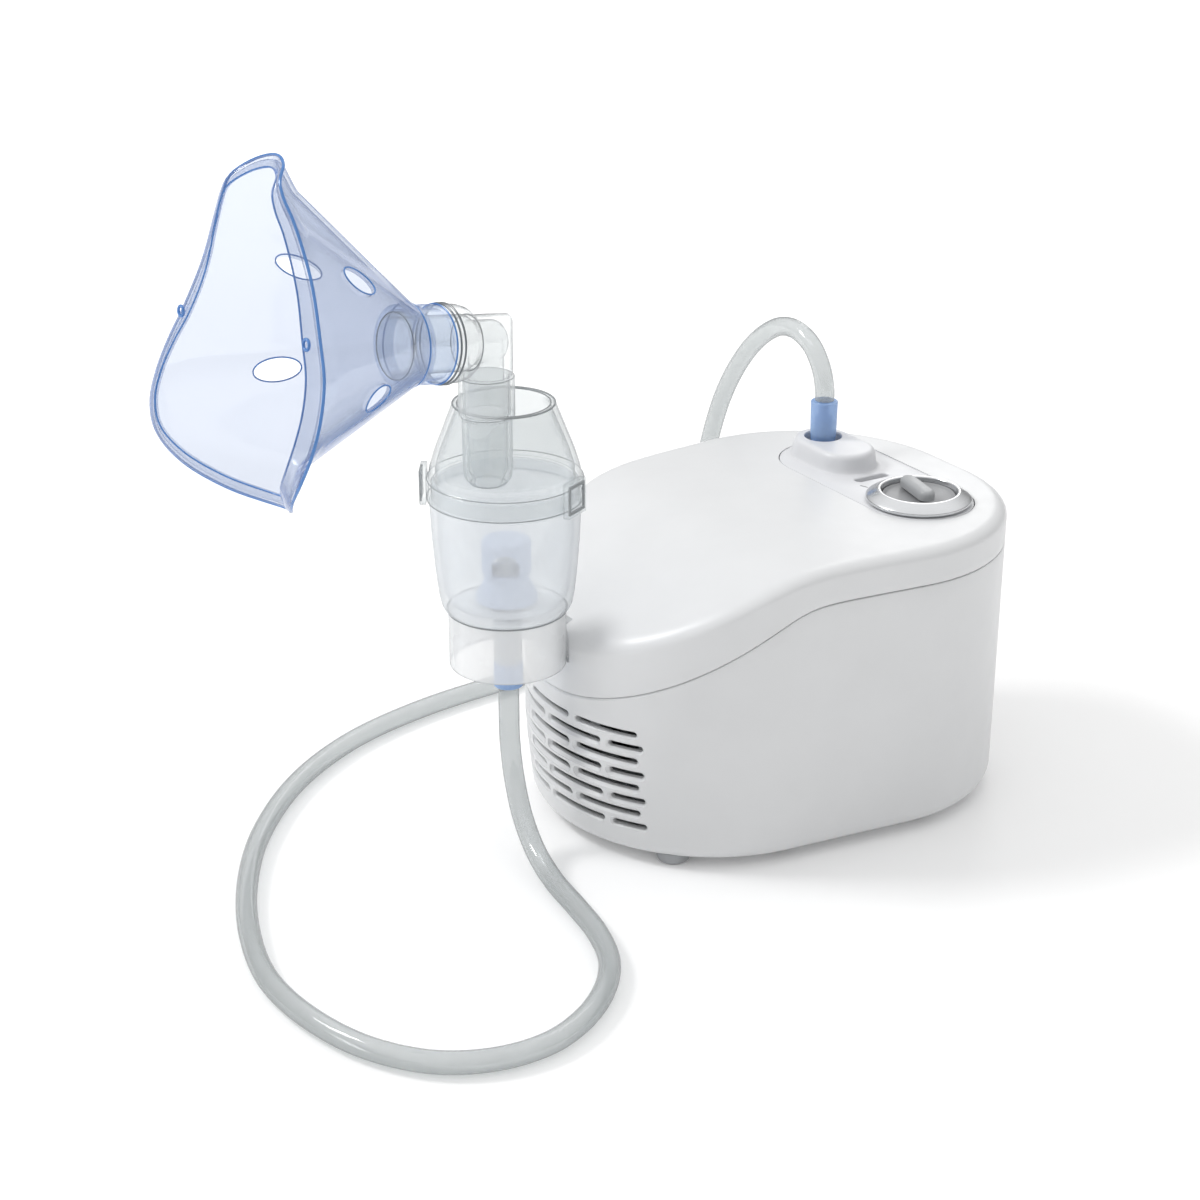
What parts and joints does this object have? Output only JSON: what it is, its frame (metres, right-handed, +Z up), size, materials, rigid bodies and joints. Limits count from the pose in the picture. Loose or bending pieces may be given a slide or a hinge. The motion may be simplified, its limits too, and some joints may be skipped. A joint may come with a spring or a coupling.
{
  "type": "tabletop nebulizer",
  "caption": "Tabletop compressor nebulizer with a control dial, an air tube, a medicine cup held in its nose, and a swivelling face mask.",
  "frame": {"origin": "on the surface the feet stand on, under the middle of the object's box without its air tube", "axes": "+Z up, +Y from the nose and mask towards the back with the mains inlet, +X to the dial's side"},
  "size_m": [0.2183, 0.2739, 0.2277],
  "materials": {
    "housing_white": "satin white moulded plastic",
    "panel_white": "satin white moulded plastic",
    "foot_rubber": "matt grey rubber",
    "screw_steel": "plain steel",
    "nozzle_blue": "blue moulded plastic",
    "dial_silver": "silver metallised plastic",
    "dial_grey": "mid-grey satin plastic",
    "grip_grey": "light grey satin plastic",
    "switch_black": "black moulded plastic",
    "filter_holder_black": "black moulded plastic",
    "filter_felt": "white felt",
    "inlet_black": "black moulded plastic",
    "pin_brass": "bright brass",
    "chassis_steel": "zinc-plated sheet steel",
    "mount_rubber": "black rubber",
    "bearing_bronze": "sintered bronze",
    "core_steel": "laminated steel",
    "coil_copper": "enamelled copper winding",
    "shaft_steel": "ground steel",
    "fan_black": "black moulded plastic",
    "pump_aluminium": "die-cast aluminium",
    "hose_clear": "clear flexible hose",
    "cup_frosted": "frosted translucent plastic",
    "head_pale_blue": "pale blue plastic",
    "plug_blue": "soft translucent blue plastic",
    "cap_clear": "clear plastic",
    "mask_blue": "soft clear bluish plastic",
    "tube_clear": "clear flexible tube"
  },
  "bodies": {
    "compressor": {"lower_housing": "housing_white", "top_cover": "housing_white", "control_panel": "panel_white", "foot_1": "foot_rubber", "foot_2": "foot_rubber", "foot_3": "foot_rubber", "foot_4": "foot_rubber", "housing_screw_1": "screw_steel", "housing_screw_2": "screw_steel", "housing_screw_3": "screw_steel", "housing_screw_4": "screw_steel", "air_outlet_nozzle": "nozzle_blue", "rotary_switch": "switch_black", "air_filter_holder": "filter_holder_black", "air_filter": "filter_felt", "mains_inlet": "inlet_black", "inlet_pin_1": "pin_brass", "inlet_pin_2": "pin_brass", "chassis_plate": "chassis_steel", "front_bracket": "chassis_steel", "rear_bracket": "chassis_steel", "pump_stand": "chassis_steel", "rubber_mount_1": "mount_rubber", "rubber_mount_2": "mount_rubber", "rubber_mount_3": "mount_rubber", "rubber_mount_4": "mount_rubber", "front_bearing": "bearing_bronze", "rear_bearing": "bearing_bronze", "stator_core": "core_steel", "motor_coil": "coil_copper", "cylinder_head": "pump_aluminium", "pump_cylinder": "pump_aluminium", "outlet_hose": "hose_clear", "kit_tube_plug": "plug_blue", "machine_tube_plug": "plug_blue", "air_tube": "tube_clear"},
    "dial": {"dial_ring": "dial_silver", "dial_knob": "dial_grey", "dial_grip": "grip_grey"},
    "kit": {"medicine_cup": "cup_frosted", "vaporizer_head": "head_pale_blue"},
    "cap": {"inhalation_cap": "cap_clear"},
    "adapter": {"angle_adapter": "cap_clear"},
    "mask": {"face_mask": "mask_blue"},
    "motor": {"rotor": "core_steel", "motor_shaft": "shaft_steel", "cooling_fan": "fan_black", "crank_disc": "pump_aluminium"},
    "piston": {"piston_rod": "pump_aluminium"}
  },
  "joints": [
    {"name": "dial_turn", "type": "hinge", "parent": "compressor", "child": "dial", "pos_m": [0.0255, 0.10079, 0.0985], "axis": [0, 0, 1], "range_deg": [0, 44]},
    {"name": "kit_lift", "type": "slide", "parent": "compressor", "child": "kit", "axis": [0, 0, 1], "range_m": [0, 0.03]},
    {"name": "cap_twist", "type": "hinge", "parent": "kit", "child": "cap", "pos_m": [0, -0.03516, 0.12], "axis": [0, 0, 1], "range_deg": [0, 25]},
    {"name": "adapter_swivel", "type": "hinge", "parent": "cap", "child": "adapter", "pos_m": [0.00556, -0.04371, 0.15], "axis": [0, 0, 1], "range_deg": [-60, 60]},
    {"name": "mask_swivel", "type": "hinge", "parent": "adapter", "child": "mask", "pos_m": [0.00556, -0.04371, 0.1668], "axis": [0.1207, -0.9829, 0.1392], "range_deg": [-90, 90]},
    {"name": "motor_spin", "type": "hinge", "parent": "compressor", "child": "motor", "pos_m": [0, 0.05034, 0.033], "axis": [0, 1, 0], "continuous": true},
    {"name": "piston_slide", "type": "slide", "parent": "compressor", "child": "piston", "axis": [0, 0, 1], "range_m": [0, 0.006]}
  ]
}
